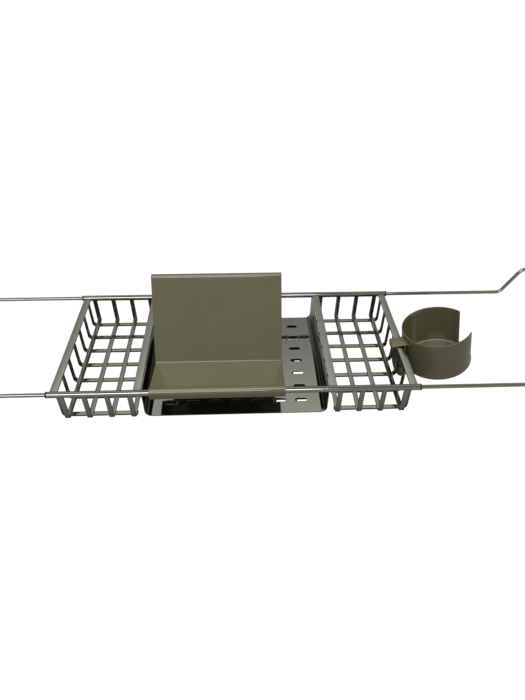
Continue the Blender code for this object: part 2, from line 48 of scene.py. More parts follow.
def gridQuads(rows, columns, closeRows=False, closeColumns=False):
    # quad (i, j) joins rows i and i + 1 and columns j and j + 1; a closed way wraps round to 0
    i = np.arange(rows if closeRows else rows - 1)[:, None]
    j = np.arange(columns if closeColumns else columns - 1)[None, :]
    i2, j2 = (i + 1) % rows, (j + 1) % columns
    quads = np.stack([i * columns + j, i * columns + j2, i2 * columns + j2, i2 * columns + j], -1)
    return quads.reshape(-1, 4).tolist()


def cappedRings(points):
    # closed rings joined by quads, with the first ring and the last one, turned round, as caps
    rows, columns = points.shape[:2]
    caps = [list(range(columns)), list(range((rows - 1) * columns, rows * columns))[::-1]]
    return points.reshape(-1, 3), gridQuads(rows, columns, closeColumns=True) + caps


def quarterRound(share):
    # 1 - sqrt(1 - (1 - share)^2), with share held to 0..1: 1 at its start and 0 from its end on
    return 1 - np.sqrt(np.clip(1 - (1 - np.clip(share, 0, 1)) ** 2, 0, 1))


def roundedPath(corners, radii, steps):
    # corner k becomes an arc: it starts r tan(turn/2) before the corner, and its point at angle a
    # is centre + r (along sin a - inward cos a)
    corners = np.asarray(corners, float)
    pieces = [corners[:1]]
    for before, corner, after, r in zip(corners, corners[1:], corners[2:], radii):
        along = (corner - before) / np.linalg.norm(corner - before)
        onward = (after - corner) / np.linalg.norm(after - corner)
        turn = math.acos(float(np.clip(along @ onward, -1, 1)))
        inward = onward - (onward @ along) * along
        inward = inward / np.linalg.norm(inward)
        start = corner - along * r * math.tan(turn / 2)
        centre = start + inward * r
        a = np.linspace(0, turn, steps + 1)[:, None]
        pieces.append(centre + r * (along * np.sin(a) - inward * np.cos(a)))
    pieces.append(corners[-1:])
    return np.concatenate(pieces)


def barSection(width, height, radius, steps=4):
    # corner centres (+-(w/2 - r), +-(h/2 - r)) and the unit directions (cos a, sin a) round them
    a = np.linspace(0, math.pi / 2, steps + 1)[None, :] + np.arange(4)[:, None] * math.pi / 2
    x = (width / 2 - radius) * np.array([1, -1, -1, 1])[:, None] + 0 * a
    y = (height / 2 - radius) * np.array([1, 1, -1, -1])[:, None] + 0 * a
    centres = np.stack([x, y], -1).reshape(-1, 2)
    units = np.stack([np.cos(a), np.sin(a)], -1).reshape(-1, 2)
    return centres, units, radius


def roundSection(radius, steps):
    # centre 0 and the unit directions (cos a, sin a)
    a = np.linspace(0, 2 * math.pi, steps, endpoint=False)
    units = np.stack([np.cos(a), np.sin(a)], -1)
    return 0 * units, units, radius


def carryAlong(path, side, section, endRound=0.0, inset=None, endSteps=3):
    # point j of ring i = path i + x side i + y (side i x tangent i), where (x, y) is
    # centre j + (r - inset i) unit j; the end rings are pulled in by e (1 - cos t) and set back
    # by e (1 - sin t), a quarter round
    path = np.asarray(path, float)
    inset = np.zeros(len(path)) if inset is None else inset
    step = np.gradient(path, axis=0)
    tangent = step / np.linalg.norm(step, axis=1)[:, None]
    tangent[0] = (path[1] - path[0]) / np.linalg.norm(path[1] - path[0])
    tangent[-1] = (path[-1] - path[-2]) / np.linalg.norm(path[-1] - path[-2])
    if endRound > 0:
        t = np.linspace(0, math.pi / 2, endSteps + 1)[::-1][:, None]
        e = endRound
        head = path[0] + tangent[0] * e * (1 - np.sin(t))
        tail = (path[-1] - tangent[-1] * e * (1 - np.sin(t)))[::-1]
        pulled = e * (1 - np.cos(t[:, 0]))
        path = np.concatenate([head, path[1:-1], tail])
        inset = np.concatenate([inset[0] + pulled, inset[1:-1], inset[-1] + pulled[::-1]])
        first, last = [np.repeat(tangent[end][None], endSteps + 1, 0) for end in (0, -1)]
        tangent = np.concatenate([first, tangent[1:-1], last])
    side = np.asarray(side, float)
    side = side - (tangent @ side)[:, None] * tangent
    side = side / np.linalg.norm(side, axis=1)[:, None]
    over = np.cross(side, tangent)
    centres, units, radius = section
    flat = centres[None] + (radius - inset)[:, None, None] * units[None]
    points = path[:, None] + flat[..., :1] * side[:, None] + flat[..., 1:] * over[:, None]
    return cappedRings(points)


def turnAround(profile, origin, axis, steps, closed=True):
    # the profile's rows are (r, h), and
    # point (i, j) = origin + axis h i + r i (e1 cos a j + e2 sin a j)
    axis = np.asarray(axis, float)
    e1 = np.cross(axis, [0.0, 1.0, 0.0])
    e1 = e1 / np.linalg.norm(e1)
    e2 = np.cross(axis, e1)
    r, h = np.asarray(profile, float).T[..., None, None]
    a = np.linspace(0, 2 * math.pi, steps, endpoint=False)
    ring = e1 * np.cos(a)[:, None] + e2 * np.sin(a)[:, None]
    points = np.asarray(origin) + h * axis + r * ring[None]
    return points.reshape(-1, 3), gridQuads(len(r), steps, closeRows=closed, closeColumns=True)


def joinMeshes(parts):
    # the parts' points one after another, and each part's faces moved on by the points before it
    starts = np.cumsum([0] + [len(points) for points, _ in parts]).tolist()
    points = np.concatenate([points for points, _ in parts])
    faces = [[start + v for v in face] for start, (_, part) in zip(starts, parts) for face in part]
    return points, faces


def putPiece(name, shape, body, finish, node, merge=0.0):
    # the mesh with its doubles merged, its faces turned outward and its sharp edges marked
    points, faces = shape
    mesh = bpy.data.meshes.new(name)
    mesh.from_pydata(np.asarray(points).tolist(), [], faces)
    work = bmesh.new()
    work.from_mesh(mesh)
    if merge:
        bmesh.ops.remove_doubles(work, verts=work.verts, dist=merge)
    bmesh.ops.recalc_face_normals(work, faces=work.faces)
    work.to_mesh(mesh)
    work.free()
    mesh.shade_smooth()
    mesh.set_sharp_from_angle(angle=math.radians(sharpAngle))
    mesh.materials.append(finish)
    piece = bpy.data.objects.new(name, mesh)
    bpy.context.scene.collection.objects.link(piece)
    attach(piece, body)
    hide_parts(node)
    return piece


def softenEdges(piece, width, segments=2, angle=sharpAngle):
    # a rounding on every edge that is sharper than the angle
    bevel = piece.modifiers.new("softEdges", "BEVEL")
    bevel.width = width
    bevel.segments = segments
    bevel.limit_method = "ANGLE"
    bevel.angle_limit = math.radians(angle)
    bevel.harden_normals = False
    return piece


def giveWall(piece, thickness, even=False):
    # the skin is the outside, and the wall grows inward from it
    wall = piece.modifiers.new("wall", "SOLIDIFY")
    wall.thickness = thickness
    wall.offset = -1
    wall.use_even_offset = even


def finishBase(name, slot):
    # a material that knows its record slot, with its shader and the piece's own coordinates
    finish = bpy.data.materials.new(name)
    finish.use_nodes = True
    finish["slot"] = slot
    nodes, links = finish.node_tree.nodes, finish.node_tree.links
    shader = nodes["Principled BSDF"]
    place = nodes.new("ShaderNodeTexCoord")
    return finish, nodes, links, shader, place.outputs["Object"]


def stretched(nodes, links, place, scale):
    # the pattern's own scale along each axis, so a small number draws it out that way
    mapping = nodes.new("ShaderNodeMapping")
    mapping.inputs["Scale"].default_value = scale
    links.new(place, mapping.inputs["Vector"])
    return mapping.outputs["Vector"]


def noiseOf(nodes, links, place, scale, detail, roughness=0.5):
    noise = nodes.new("ShaderNodeTexNoise")
    noise.inputs["Scale"].default_value = scale
    noise.inputs["Detail"].default_value = detail
    noise.inputs["Roughness"].default_value = roughness
    links.new(place, noise.inputs["Vector"])
    return noise.outputs["Fac"]


def spread(nodes, links, value, low, high, span=noiseSpan):
    # low at the span's start, high at its end, straight between
    rangeOf = nodes.new("ShaderNodeMapRange")
    rangeOf.inputs["From Min"].default_value = span[0]
    rangeOf.inputs["From Max"].default_value = span[1]
    rangeOf.inputs["To Min"].default_value = low
    rangeOf.inputs["To Max"].default_value = high
    links.new(value, rangeOf.inputs["Value"])
    return rangeOf.outputs["Result"]


def colourRamp(nodes, links, value, stops):
    ramp = nodes.new("ShaderNodeValToRGB")
    while len(ramp.color_ramp.elements) < len(stops):
        ramp.color_ramp.elements.new(0.5)  # anywhere: the stops place it
    for element, (position, colour) in zip(ramp.color_ramp.elements, stops):
        element.position = position
        element.color = (*colour, 1)
    links.new(value, ramp.inputs["Fac"])
    return ramp.outputs["Color"]


def bumpOf(nodes, links, height, strength, distance, under=None):
    bump = nodes.new("ShaderNodeBump")
    bump.inputs["Strength"].default_value = strength
    bump.inputs["Distance"].default_value = distance
    links.new(height, bump.inputs["Height"])
    if under is not None:
        links.new(under, bump.inputs["Normal"])
    return bump.outputs["Normal"]


def paintClouds(nodes, links, place, look, tones, shader):
    # the base colour drifts between two tones
    clouds = noiseOf(nodes, links, place, *look["cloudNoise"])
    colour = colourRamp(nodes, links, clouds, list(zip(noiseSpan, tones)))
    links.new(colour, shader.inputs["Base Color"])


# each noise is (scale, detail) or (scale, detail, roughness); the heights are in metres
steelLook = {
    "dark": (0.385, 0.39, 0.335),
    "light": (0.415, 0.42, 0.365),
    "cloudNoise": (38.0, 4.0),
    "roughness": (0.08, 0.14),
    "glossNoise": (95.0, 5.0, 0.6),
    "hairlines": 0.03,
    "hairlineHeight": 0.00006,
    "hairlineNoise": (1.0, 2.0),
    "hairlinesAlongX": (60.0, 2600.0, 2600.0),
    "hairlinesAlongY": (2600.0, 60.0, 2600.0),
    "waves": 0.015,
    "waveHeight": 0.002,
    "waveNoise": (55.0, 1.0),
    "rim": {"paler": 1.36, "duller": 0.02, "uneven": 0.3},
    "tray": {"paler": 1.0, "duller": -0.045, "uneven": 0.15},
}


def makeSteel(name, hairlineScale, paler=1.0, duller=0.0, uneven=1.0):
    # polished stainless: a clouded colour times paler, a roughness plus duller, and polishing
    # hairlines over a slight wave from the forming, both times uneven
    look = steelLook
    finish, nodes, links, shader, place = finishBase(name, "polished_steel")
    tones = [tuple(c * paler for c in look[key]) for key in ("dark", "light")]
    paintClouds(nodes, links, place, look, tones, shader)
    gloss = noiseOf(nodes, links, place, *look["glossNoise"])
    low, high = [r + duller for r in look["roughness"]]
    links.new(spread(nodes, links, gloss, low, high), shader.inputs["Roughness"])
    waves = noiseOf(nodes, links, place, *look["waveNoise"])
    wavy = bumpOf(nodes, links, waves, look["waves"] * uneven, look["waveHeight"])
    drawn = stretched(nodes, links, place, hairlineScale)
    lines = noiseOf(nodes, links, drawn, *look["hairlineNoise"])
    lined = bumpOf(nodes, links, lines, look["hairlines"] * uneven, look["hairlineHeight"], wavy)
    links.new(lined, shader.inputs["Normal"])
    shader.inputs["Metallic"].default_value = 1.0
    return finish


oliveLook = {
    "dark": (0.095, 0.089, 0.044),
    "light": (0.102, 0.095, 0.049),
    "cloudNoise": (24.0, 3.0),
    "roughness": (0.42, 0.5),
    "rubNoise": (130.0, 4.0),
    "grain": 0.04,
    "grainHeight": 0.00015,
    "grainNoise": (900.0, 2.0),
    "specular": 0.0,
    "coat": 1.0,
    "coatRoughness": 0.11,
    "coatIndex": 1.62,
}


def makeOlive(name):
    # stoved paint on steel: even colour with faint clouds, orange peel, and a clear satin top coat
    look = oliveLook
    finish, nodes, links, shader, place = finishBase(name, "olive_coat")
    paintClouds(nodes, links, place, look, (look["dark"], look["light"]), shader)
    rub = noiseOf(nodes, links, place, *look["rubNoise"])
    links.new(spread(nodes, links, rub, *look["roughness"]), shader.inputs["Roughness"])
    peel = noiseOf(nodes, links, place, *look["grainNoise"])
    bumps = bumpOf(nodes, links, peel, look["grain"], look["grainHeight"])
    links.new(bumps, shader.inputs["Normal"])
    shader.inputs["Specular IOR Level"].default_value = look["specular"]
    shader.inputs["Coat Weight"].default_value = look["coat"]
    shader.inputs["Coat Roughness"].default_value = look["coatRoughness"]
    shader.inputs["Coat IOR"].default_value = look["coatIndex"]
    return finish


blackLook = {
    "contrast": (0.75, 1.3),
    "cloudNoise": (160.0, 3.0),
    "wear": 0.06,
    "wearNoise": (300.0, 3.0),
    "grainHeight": 0.0002,
    "grainDetail": 2.0,
    "plastic": {"tone": 0.014, "roughness": 0.42, "grainScale": 1400.0, "grain": 0.15},
    "rubber": {"tone": 0.018, "roughness": 0.68, "grainScale": 1100.0, "grain": 0.3},
}


def makeBlack(name, slot, tone, roughness, grainScale, grain):
    # moulded black: a fine even grain and slightly worn gloss
    look = blackLook
    finish, nodes, links, shader, place = finishBase(name, slot)
    tones = [(tone * share,) * 3 for share in look["contrast"]]
    paintClouds(nodes, links, place, look, tones, shader)
    worn = noiseOf(nodes, links, place, *look["wearNoise"])
    low, high = roughness - look["wear"], roughness + look["wear"]
    links.new(spread(nodes, links, worn, low, high), shader.inputs["Roughness"])
    peel = noiseOf(nodes, links, place, grainScale, look["grainDetail"])
    links.new(bumpOf(nodes, links, peel, grain, look["grainHeight"]), shader.inputs["Normal"])
    return finish


steelAlongX = makeSteel("polishedSteelAlongX", steelLook["hairlinesAlongX"])
steelAlongY = makeSteel("polishedSteelAlongY", steelLook["hairlinesAlongY"])
brushedRim = makeSteel("brushedRimSteel", steelLook["hairlinesAlongY"], **steelLook["rim"])
traySteel = makeSteel("traySteel", steelLook["hairlinesAlongY"], **steelLook["tray"])
oliveCoat = makeOlive("oliveCoat")
blackPlastic = makeBlack("blackPlastic", "black_plastic", **blackLook["plastic"])
blackRubber = makeBlack("blackRubber", "black_rubber", **blackLook["rubber"])
print("finishes made")

# from here to the studio every size is in mm, and every angle in degrees; points that are no
# further apart than merge become one
railSize = {
    "halfLength": 225.0,
    "spacing": 198.6,
    "height": 45.0,
    "radius": 4.0,
    "wall": 0.5,
    "sides": 48,
    "stations": 40,
    "rollSteps": 6,
}
railY = railSize["spacing"] / 2


def makeRail(name, y):
    # a closed profile round the rail's axis: outside, rolled end, bore, rolled end
    s = railSize
    half, r, wall = s["halfLength"], s["radius"], s["wall"]
    t = np.linspace(0, math.pi, s["rollSteps"] + 1)
    bend = wall / 2
    roll = np.stack([r - bend + bend * np.cos(t), half - bend + bend * np.sin(t)], -1)
    along = np.linspace(-half + wall, half - wall, s["stations"])
    outside = np.stack([np.full_like(along, r), along], -1)
    profile = np.concatenate([outside, roll, roll[::-1] * [1, -1]])
    shape = turnAround(profile * mm, (0, y * mm, s["height"] * mm), (1, 0, 0), s["sides"])
    return putPiece(name + "Tube", shape, "frame", steelAlongX, name)


bushSize = {
    "flange": 1.6,
    "insert": 10.0,
    "insertRadius": 3.2,
    "bore": 2.8,
    "gap": 0.3,
    "sides": 40,
    "softEdge": 0.28,
    "softSteps": 3,
}


def makeBush(name, side, y):
    # a closed profile: bore, insert, flange; its edges are then softened
    s = bushSize
    face = s["gap"] + s["flange"]
    profile = [
        (s["bore"], -s["insert"]), (s["insertRadius"], -s["insert"]), (s["insertRadius"], s["gap"]),
        (railSize["radius"], s["gap"]), (railSize["radius"], face), (s["bore"], face),
    ]
    origin = (side * railSize["halfLength"] * mm, y * mm, railSize["height"] * mm)
    shape = turnAround(np.array(profile) * mm, origin, (side, 0, 0), s["sides"])
    piece = putPiece(name + "Ring", shape, "frame", blackPlastic, name)
    return softenEdges(piece, s["softEdge"] * mm, s["softSteps"])


for place, y in (("front", -railY), ("rear", railY)):
    makeRail(place + "_rail", y)
    for word, side in sides.items():
        makeBush(f"{word}_{place}_bush", side, y)
print("rails and bushes made")

armSize = {
    "rod": 2.5,
    "innerEnd": 186.0,
    "bendAt": 401.5,
    "topBendAt": 423.67,
    "rise": 40.0,
    "reach": 472.0,
    "bend": 12.0,
    "bendSteps": 12,
    "endRound": 0.5,
    "sectionSide": (-0.6, 0.0, 0.8),
    "sides": 20,
}


def makeArm(word, side):
    # a round section carried along the bent line: out, up, out, across, and back;
    # the section's side is a direction that the line never takes
    s = armSize
    low, high = railSize["height"], railSize["height"] + s["rise"]
    front = [
        (side * s["innerEnd"], -railY, low), (side * s["bendAt"], -railY, low),
        (side * s["topBendAt"], -railY, high), (side * s["reach"], -railY, high),
    ]
    line = np.array(front + [(x, -y, z) for x, y, z in front[::-1]]) * mm
    path = roundedPath(line, [s["bend"] * mm] * (len(line) - 2), s["bendSteps"])
    section = roundSection(s["rod"] * mm, s["sides"])
    across = np.array(s["sectionSide"]) * [side, 1, 1]
    shape = carryAlong(path, across, section, s["endRound"] * mm)
    return putPiece(f"{word}ArmRod", shape, f"{word}_arm", steelAlongX, f"{word}_arm")


plugSize = {
    "innerEnd": 183.7,
    "outerEnd": 189.7,
    "radius": 3.2,
    "bore": 2.8,
    "boreDepth": 4.0,
    "sides": 32,
    "merge": 0.001,
    "softEdge": 0.2,
}


def makePlug(name, body, side, y):
    # a closed profile with a blind bore, its middle points on the axis merged
    s = plugSize
    inner, outer, r, bore = s["innerEnd"], s["outerEnd"], s["radius"], s["bore"]
    deep = outer - s["boreDepth"]
    profile = [(0.0, inner), (r, inner), (r, outer), (bore, outer), (bore, deep), (0.0, deep)]
    origin = (0, y * mm, railSize["height"] * mm)
    shape = turnAround(np.array(profile) * mm, origin, (side, 0, 0), s["sides"], closed=False)
    piece = putPiece(name + "Body", shape, body, blackPlastic, name, s["merge"] * mm)
    return softenEdges(piece, s["softEdge"] * mm)


gripSize = {
    "from": 431.37,
    "to": 459.37,
    "width": 14.0,
    "height": 11.0,
    "corner": 3.0,
    "cornerSteps": 6,
    "endRound": 1.2,
    "endSteps": 5,
    "grooves": 6,
    "grooveDepth": 0.45,
    "plainEnds": 0.12,
    "stations": 90,
}


def makeGrip(name, body, side, y):
    # a rounded bar along X, its section pulled in by depth cos^4 (pi grooves share), which fades
    # to none at the ends
    s = gripSize
    x = np.linspace(s["from"], s["to"], s["stations"])
    share = (x - s["from"]) / (s["to"] - s["from"])
    middle = np.clip(np.minimum(share, 1 - share) / s["plainEnds"], 0, 1)
    groove = s["grooveDepth"] * np.cos(math.pi * s["grooves"] * share) ** 4 * middle
    height = railSize["height"] + armSize["rise"]
    path = np.stack([side * x, np.full_like(x, y), np.full_like(x, height)], -1)
    section = barSection(s["width"] * mm, s["height"] * mm, s["corner"] * mm, s["cornerSteps"])
    endRound = s["endRound"] * mm
    shape = carryAlong(path * mm, (0, 1, 0), section, endRound, groove * mm, s["endSteps"])
    return putPiece(name + "Sleeve", shape, body, blackRubber, name)


for word, side in sides.items():
    makeArm(word, side)
    for place, y in (("front", -railY), ("rear", railY)):
        makePlug(f"{word}_{place}_stop_plug", f"{word}_arm", side, y)
        makeGrip(f"{word}_{place}_grip", f"{word}_arm", side, y)
print("arms made")

basketSize = {
    "rimAt": (119.6, 218.9),
    "rimWidth": 9.4,
    "rimThickness": 2.5,
    "rimHalfDepth": 95.0,
    "rimEdge": 0.55,
    "rimInRail": 1.1,
    "rimStations": 30,
    "stripWidth": 6.0,
    "stripThickness": 2.4,
    "stripEdge": 0.3,
    "longAt": (128.3, 155.53, 182.77, 210.0),
    "longFloor": 3.9,
    "longCorner": 1.8,
    "longSteps": 12,
    "longTop": 41.45,
    "crossAt": (-90.8, -60.53, -30.27, 0.0, 30.27, 60.53, 90.8),
    "crossFrom": 124.6,
    "crossCorner": 5.3,
    "crossSteps": 14,
    "crossTop": 44.2,
    "crossEnd": 0.4,
    "riserFace": 218.9,
    "weldRadius": 0.66,
    "weldFlat": 0.7,
    "weldLift": 0.15,
    "weldRings": 7,
    "weldSides": 12,
    "merge": 0.0005,
}


def makeRimBar(name, x):
    # a flat section carried along Y from rail to rail, its ends a little way into them
    s = basketSize
    half = s["rimHalfDepth"] + s["rimInRail"]
    between = np.linspace(-s["rimHalfDepth"], s["rimHalfDepth"], s["rimStations"])
    y = np.concatenate([[-half], between, [half]])
    path = np.stack([np.full_like(y, x), y, np.full_like(y, railSize["height"])], -1)
    section = barSection(s["rimWidth"] * mm, s["rimThickness"] * mm, s["rimEdge"] * mm)
    shape = carryAlong(path * mm, (1, 0, 0), section)
    return putPiece(name + "Flat", shape, "frame", brushedRim, name)


def stripSection():
    # the long strips and the cross bars are cut from the same flat steel
    s = basketSize
    return barSection(s["stripWidth"] * mm, s["stripThickness"] * mm, s["stripEdge"] * mm)


def makeLongStrip(name, x):
    # the strip's section carried down from the front rail, along the floor and up to the rear rail
    s = basketSize
    y, low, high = railY, s["longFloor"], s["longTop"]
    corners = np.array([(x, -y, high), (x, -y, low), (x, y, low), (x, y, high)]) * mm
    path = roundedPath(corners, [s["longCorner"] * mm] * 2, s["longSteps"])
    shape = carryAlong(path, (1, 0, 0), stripSection())
    return putPiece(name + "Band", shape, "frame", steelAlongY, name)


def weldBead(place, radius):
    # a low dome on the seam: radius (cos u cos v, cos u sin v, flat sin u)
    s = basketSize
    u = np.linspace(-math.pi / 2, math.pi / 2, s["weldRings"])[:, None]
    v = np.linspace(0, 2 * math.pi, s["weldSides"], endpoint=False)[None, :]
    up = s["weldFlat"] * np.sin(u) + 0 * v
    dome = np.stack([np.cos(u) * np.cos(v), np.cos(u) * np.sin(v), up], -1)
    return (dome * radius).reshape(-1, 3) + place, gridQuads(*dome.shape[:2], closeColumns=True)


def makeCrossBar(name, side, y):
    # the bar, and a small weld on each side of its crossings with the long strips
    s = basketSize
    z = s["stripThickness"] / 2
    start, riser = side * s["crossFrom"], side * (s["riserFace"] - s["stripThickness"] / 2)
    corners = [(start, y, z), (riser, y, z), (riser, y, s["crossTop"])]
    path = roundedPath(np.array(corners) * mm, [s["crossCorner"] * mm], s["crossSteps"])
    parts = [carryAlong(path, (0, 1, 0), stripSection(), s["crossEnd"] * mm)]
    for x in s["longAt"]:
        for way in (-1, 1):
            spot = (side * (x + way * s["stripWidth"] / 2), y, s["stripThickness"] + s["weldLift"])
            parts.append(weldBead(np.array(spot) * mm, s["weldRadius"] * mm))
    return putPiece(name + "Band", joinMeshes(parts), "frame", steelAlongX, name, s["merge"] * mm)


for word, side in sides.items():
    for place, x in zip(("inner", "outer"), basketSize["rimAt"]):
        makeRimBar(f"{word}_{place}_rim_bar", side * x)
    for number, x in enumerate(basketSize["longAt"], 1):
        makeLongStrip(f"{word}_long_strip_{number}", side * x)
    for number, y in enumerate(basketSize["crossAt"], 1):
        makeCrossBar(f"{word}_cross_bar_{number}", side, y)
print("baskets made")

traySize = {
    "half": 114.7,
    "halfDepth": 98.5,
    "sheet": 1.0,
    "floorUnder": 2.2,
    "corner": 9.0,
    "bendSteps": 12,
    "top": 44.4,
    "wallSteps": 6,
    "railClear": 4.3,
    "slots": 7,
    "pitch": (28.0, 25.45),
    "slotLength": 15.75,
    "slotWidth": 5.6,
    "cellSteps": 8,
    "cellRings": (0.0, 0.12, 0.5, 1.0),
    "marginX": (100.5, 103.5),
    "marginY": (92.0, 94.9, 95.25, 95.8, 96.6, 97.6),
    "merge": 0.002,
    "softEdge": 0.22,
    "softAngle": 50,
}


def slotCell(x0, y0):
    # closed rings on the floor, from the slot's outline to the cell's edge, blended by share;
    # the slot's outline is its round ends and straights, met at the ends' 45 degree points
    s = traySize
    n = s["cellSteps"]
    share = np.linspace(-1, 1, n + 1)[:-1]
    halfX, halfY = s["pitch"][0] / 2, s["pitch"][1] / 2
    r = s["slotWidth"] / 2
    straight = s["slotLength"] / 2 - r
    bend = math.pi / 4
    run = share * (straight + r * bend)
    past = np.sign(run) * np.maximum(np.abs(run) - straight, 0) / r
    low = np.stack([np.clip(run, -straight, straight) + r * np.sin(past), -r * np.cos(past)], -1)
    right = np.stack([straight + r * np.cos(share * bend), r * np.sin(share * bend)], -1)
    hole = np.concatenate([low, right, -low, -right])
    flatLow = np.stack([share * halfX, np.full(n, -halfY)], -1)
    flatRight = np.stack([np.full(n, halfX), share * halfY], -1)
    edge = np.concatenate([flatLow, flatRight, -flatLow, -flatRight])
    blend = np.array(s["cellRings"])[:, None, None]
    rings = hole[None] * (1 - blend) + edge[None] * blend + [x0, y0]
    points = np.concatenate([rings, np.full(rings.shape[:2] + (1,), s["floorUnder"])], -1)
    return points.reshape(-1, 3) * mm, gridQuads(*rings.shape[:2], closeColumns=True)


def gridSurface(x, y, z):
    # one point for each pair of row and column, and quads between them
    grid = np.stack(np.broadcast_arrays(x, y, z), -1)
    return grid.reshape(-1, 3) * mm, gridQuads(*grid.shape[:2])


def faceDown(piece):
    # an open sheet's normals may all point in; the floor's faces tell, and then all are turned
    mesh = piece.data
    normals = np.zeros(len(mesh.polygons) * 3)
    mesh.polygons.foreach_get("normal", normals)
    if normals.reshape(-1, 3)[:, 2].sum() > 0:
        mesh.flip_normals()


def makeTray():
    # the outside skin: floor cells, plain margins, and two ends where (x, z) runs along floor, bend
    # and wall; a wall's top is the lower of its own height and the circle that clears the rail
    s = traySize
    count, n, under = s["slots"], s["cellSteps"], s["floorUnder"]
    halfX, halfY = [p * count / 2 for p in s["pitch"]]
    xLines = np.linspace(-halfX, halfX, count * n + 1)
    yLines = np.linspace(-halfY, halfY, count * n + 1)
    rearY = np.array([halfY, *s["marginY"], s["halfDepth"]])
    allY = np.concatenate([-rearY[:0:-1], yLines, rearY[1:]])
    stepX, stepY = [(np.arange(count) - (count - 1) / 2) * p for p in s["pitch"]]
    parts = [slotCell(x, y) for x in stepX for y in stepY]
    parts += [gridSurface(xLines[None, :], rows[:, None], under) for rows in (rearY, -rearY[::-1])]
    offRail = np.abs(np.abs(allY) - railY)
    clear = railSize["height"] - np.sqrt(np.maximum(s["railClear"] ** 2 - offRail**2, 0))
    top = np.where(offRail < s["railClear"], np.minimum(s["top"], clear), s["top"])
    a = np.linspace(0, math.pi / 2, s["bendSteps"] + 1)
    bendX = s["half"] - s["corner"] + s["corner"] * np.sin(a)
    bendZ = under + s["corner"] * (1 - np.cos(a))
    floorX = np.array([halfX, *s["marginX"]])
    share = np.linspace(0, 1, s["wallSteps"] + 1)[1:]
    x = np.concatenate([floorX, bendX, np.full(len(share), s["half"])])
    low = np.concatenate([np.full(len(floorX), under), bendZ])
    wall = bendZ[-1] + share[:, None] * (top[None, :] - bendZ[-1])
    z = np.concatenate([np.broadcast_to(low[:, None], (len(low), len(allY))), wall])
    parts += [gridSurface(side * x[:, None], allY[None, :], z) for side in sides.values()]
    piece = putPiece("trayPan", joinMeshes(parts), "frame", traySteel, "tray_pan", s["merge"] * mm)
    faceDown(piece)
    giveWall(piece, s["sheet"] * mm, even=True)
    return softenEdges(piece, s["softEdge"] * mm, angle=s["softAngle"])


makeTray()
print("tray made")

standSize = {
    "sheet": 1.6,
    "edge": 0.5,
    "endRound": 0.42,
    "from": -104.0,
    "to": 60.0,
    "hookRadius": 5.1,
    "hookSlope": 24.0,
    "frontLip": 39.3,
    "rearLip": 42.0,
    "creaseBehindRail": 5.5,
    "creaseRadius": 1.2,
    "bend": (-40.0, 38.8),
    "bendRadius": 3.2,
    "top": (16.2, 139.0),
    "topRadius": 3.9,
    "steps": 14,
}


def hookCorner(point, railAt, away):
    # where the line from the point that just passes over the hook's circle meets the hook's
    # outer upright
    r = standSize["hookRadius"]
    dy, dz = railAt - point[0], railSize["height"] - point[1]
    direction = math.atan2(dz, abs(dy)) + math.asin(r / math.hypot(dy, dz))
    y = railAt + away * r
    return y, point[1] + abs(y - point[0]) * math.tan(direction)


def makeBookStand():
    # one rounded sheet section carried over the front rail, down past a crease to the ledge, up
    # over the top and to the rear hook; a line that leaves the hook's circle at the slope lies at
    # (r - y sin slope) / cos slope above the rail's axis, y behind it
    s = standSize
    r = s["hookRadius"]
    steep, behind = math.radians(s["hookSlope"]), s["creaseBehindRail"]
    frontTop = railSize["height"] + r * (1 + math.sin(steep)) / math.cos(steep)
    creaseTop = railSize["height"] + (r - behind * math.sin(steep)) / math.cos(steep)
    outline = [
        (-railY - r, s["frontLip"]), (-railY - r, frontTop), (-railY + behind, creaseTop),
        s["bend"], s["top"], hookCorner(s["top"], railY, 1), (railY + r, s["rearLip"]),
    ]
    middle = (s["from"] + s["to"]) / 2
    corners = [(middle, y, z) for y, z in outline]
    radii = np.array([r, s["creaseRadius"], s["bendRadius"], s["topRadius"], r]) * mm
    path = roundedPath(np.array(corners) * mm, radii, s["steps"])
    section = barSection((s["to"] - s["from"]) * mm, s["sheet"] * mm, s["edge"] * mm)
    shape = carryAlong(path, (1, 0, 0), section, s["endRound"] * mm)
    return putPiece("bookStandSheet", shape, "book_stand", oliveCoat, "book_stand")


makeBookStand()
print("book stand made")

cupSize = {
    "radius": 45.1,
    "wall": 1.3,
    "height": 58.2,
    "edge": 4.0,
    "bottomRings": (13.2, 31.8, 33.0, 39.6),
    "rim": (268.0, -8.0, 66.8),
    "lean": 11.6,
    "backLean": 3.8,
    "gap": (-32.8, 31.3),
    "lip": 6.0,
    "gapRound": 1.5,
    "tipRound": 2.0,
    "roundSteps": 8,
    "gapStations": 24,
    "wallStations": 110,
    "lowSteps": 3,
    "highSteps": 8,
    "merge": 0.01,
    "softEdge": 0.45,
    "softSteps": 3,
    "softAngle": 50,
}
lean, backLean = math.radians(cupSize["lean"]), math.radians(cupSize["backLean"])
leanOut = np.array([math.cos(lean), 0, math.sin(lean)])
leanUp = np.array([-math.sin(lean), 0, math.cos(lean)])
cupBack = np.array([0, math.cos(backLean), 0]) - math.sin(backLean) * leanUp
cupUp = np.array([0, math.sin(backLean), 0]) + math.cos(backLean) * leanUp


def onCup(radius, angle, height):
    # rim centre - up (cup height - height) + radius (out cos angle + back sin angle)
    foot = np.array(cupSize["rim"]) - cupUp * cupSize["height"]
    ring = leanOut * np.cos(angle)[..., None] + cupBack * np.sin(angle)[..., None]
    return (foot + cupUp * height[..., None] + radius[..., None] * ring) * mm


def roundedSpan(start, end, rounding, stations):
    # angles from start to end, close together in both roundings: start + rounding (1 - cos t) there
    ease = 1 - np.cos(np.linspace(0, 1, cupSize["roundSteps"] + 1) * math.pi / 2)
    between = np.linspace(start + rounding, end - rounding, stations)[1:-1]
    return np.concatenate([start + rounding * ease, between, (end - rounding * ease)[::-1]])


